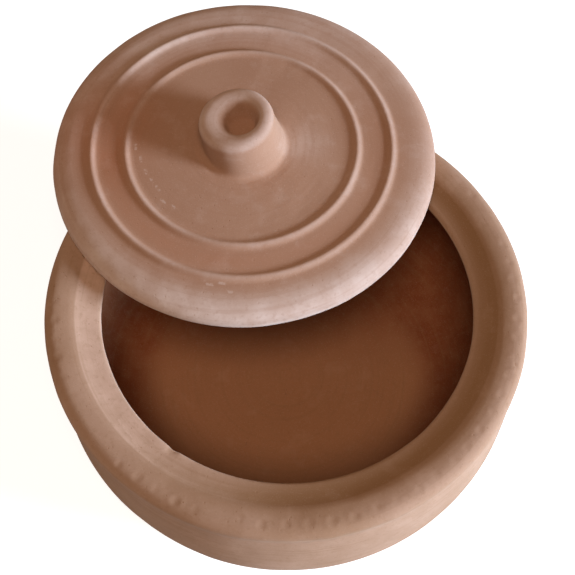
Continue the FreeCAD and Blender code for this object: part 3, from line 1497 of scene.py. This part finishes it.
    def clay(self) -> FiredClay:
        """Chooses the lid's colours.

        Returns:
            The lid's finish.
        """
        return FiredClay(
            name="lid_clay", tone=(0.46, 0.28, 0.20), dark=(0.41, 0.23, 0.155),
            red=(0.47, 0.22, 0.13), pale=(0.74, 0.63, 0.60), inner=(0.36, 0.175, 0.095),
            axis=self.centre, scuffs=self.scuffs())

    def dressed(self) -> bpy.types.Object:
        """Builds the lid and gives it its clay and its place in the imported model."""
        return dress(self.build(), self.clay(), "lid")


@dataclass(frozen=True)
class SoftLamp:
    """A round soft lamp.

    Attributes:
        name: The lamp's name.
        azimuth: Its direction from +X, in degrees, negative towards the viewer.
        elevation: Its height above the floor, in degrees.
        level: Light that it gives a surface facing it, where 1 shows a colour as written.
        size: Its diameter.
        distance: Its distance from the pot.
        aim_height: Height above the floor that it shines at.
    """

    name: str
    azimuth: float
    elevation: float
    level: Colour
    size: float
    distance: float = 1.6
    aim_height: float = 0.09

    def build(self) -> bpy.types.Object:
        """Makes the lamp and aims it at the pot.

        Returns:
            The lamp's object.
        """
        turn, rise = math.radians(self.azimuth), math.radians(self.elevation)
        across = math.cos(rise)
        away = Vector((math.cos(turn) * across, math.sin(turn) * across, math.sin(rise)))
        data = bpy.data.lights.new(self.name, "AREA")
        data.shape = "DISK"
        data.size = self.size
        strongest = max(self.level)
        data.color = tuple(part / strongest for part in self.level)
        data.energy = strongest * (math.pi * self.distance) ** 2
        lamp = put_in_scene(self.name, data)
        lamp.location = away * self.distance + Vector((0.0, 0.0, self.aim_height))
        lamp.rotation_euler = away.to_track_quat("Z", "Y").to_euler()
        return lamp


@dataclass(frozen=True)
class Studio:
    """Pale floor, a low soft lamp from the right, a soft one overhead and a plain surround.

    Attributes:
        lamps: The lamps.
        surround: Light that the surround gives the object.
        floor_half: Half the floor's width.
        floor_tone: The floor's colour.
        floor_glow: What the camera sees on top of the lit floor, where 1 is white.
    """

    lamps: tuple[SoftLamp, ...] = (
        SoftLamp("key", -19.0, 14.3, (1.31, 1.51, 1.72), 0.50),
        SoftLamp("overhead", -92.0, 68.0, (0.43, 0.30, 0.205), 0.62),
    )
    surround: Colour = (0.055, 0.042, 0.032)
    floor_half: float = 6.0
    floor_tone: Colour = (0.71, 0.745, 0.79)
    floor_glow: float = 0.79

    def floor(self) -> bpy.types.Object:
        """Makes the floor, white to the camera, with the object's soft shadow.

        Returns:
            The floor's object.
        """
        half = self.floor_half
        corners = [(-half, -half, 0.0), (half, -half, 0.0), (half, half, 0.0), (-half, half, 0.0)]
        mesh = bpy.data.meshes.new("floor")
        mesh.from_pydata(corners, [], [(0, 1, 2, 3)])
        floor = put_in_scene("floor", mesh)
        made = bpy.data.materials.new("pale_floor")
        made.use_nodes = True
        graph = NodeGraph(made.node_tree)
        path = graph.add("ShaderNodeLightPath")
        matte = graph.add("ShaderNodeBsdfDiffuse", Color=(*self.floor_tone, 1.0))
        share = graph.scaled(path.outputs["Is Camera Ray"], self.floor_glow)
        glow = graph.add("ShaderNodeEmission", Color=(*WHITE, 1.0), Strength=share)
        both = graph.add("ShaderNodeAddShader")
        graph.put(both.inputs[0], matte.outputs[0])
        graph.put(both.inputs[1], glow.outputs[0])
        output = graph.add("ShaderNodeOutputMaterial")
        graph.link(both.outputs[0], output.inputs["Surface"])
        mesh.materials.append(made)
        return floor

    def world(self) -> None:
        """Makes the surround: plain light, seen by the camera as white."""
        world = bpy.data.worlds.new("surround")
        world.use_nodes = True
        bpy.context.scene.world = world
        graph = NodeGraph(world.node_tree)
        path = graph.add("ShaderNodeLightPath")
        tint = graph.mix(path.outputs["Is Camera Ray"], self.surround, WHITE)
        back = graph.add("ShaderNodeBackground", Color=tint, Strength=1.0)
        output = graph.add("ShaderNodeOutputWorld")
        graph.link(back.outputs[0], output.inputs["Surface"])

    def build(self) -> None:
        """Builds floor, surround and lamps."""
        self.floor()
        self.world()
        for lamp in self.lamps:
            lamp.build()
        bpy.context.scene.view_settings.view_transform = "Standard"


@dataclass(frozen=True)
class PhotoCamera:
    """Camera at the photograph's place: above the near side, looking down on the pot.

    Attributes:
        place: Where it stands.
        target: What it looks at.
        lens: Focal length, in millimetres.
        sensor: Width of its picture, in millimetres.
        roll: Turn about its own line of sight, in degrees.
    """

    place: Place = (0.0007, -0.2712, 0.6388)
    target: Place = (0.0007, 0.00656, 0.108)
    lens: float = 72.0
    sensor: float = 36.0
    roll: float = -0.1

    def build(self) -> bpy.types.Object:
        """Makes the camera and sets it as the scene's.

        Returns:
            The camera's object.
        """
        data = bpy.data.cameras.new("camera")
        data.lens = self.lens
        data.sensor_width = self.sensor
        camera = put_in_scene("camera", data)
        look = Vector(self.target) - Vector(self.place)
        roll = Matrix.Rotation(math.radians(self.roll), 3, "Z")
        turn = look.to_track_quat("-Z", "Y").to_matrix() @ roll
        camera.matrix_world = Matrix.Translation(self.place) @ turn.to_4x4()
        bpy.context.scene.camera = camera
        return camera


def main() -> None:
    """Builds the camera, the studio, the pot and the lid in order, and reports the pieces."""
    logging.basicConfig(level=logging.INFO, format="%(message)s")
    PhotoCamera().build()
    Studio().build()
    low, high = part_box("pot")
    pot = ClayPot(room=(high.x - low.x) / 2, height=high.z)
    report(pot.dressed())
    low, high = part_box("lid")
    radius = (high.y - low.y) / 2
    lid = Lid(radius=radius, centre=(high.x - radius, (high.y + low.y) / 2), underside=low.z)
    report(lid.dressed())


if __name__ == "__main__":
    main()
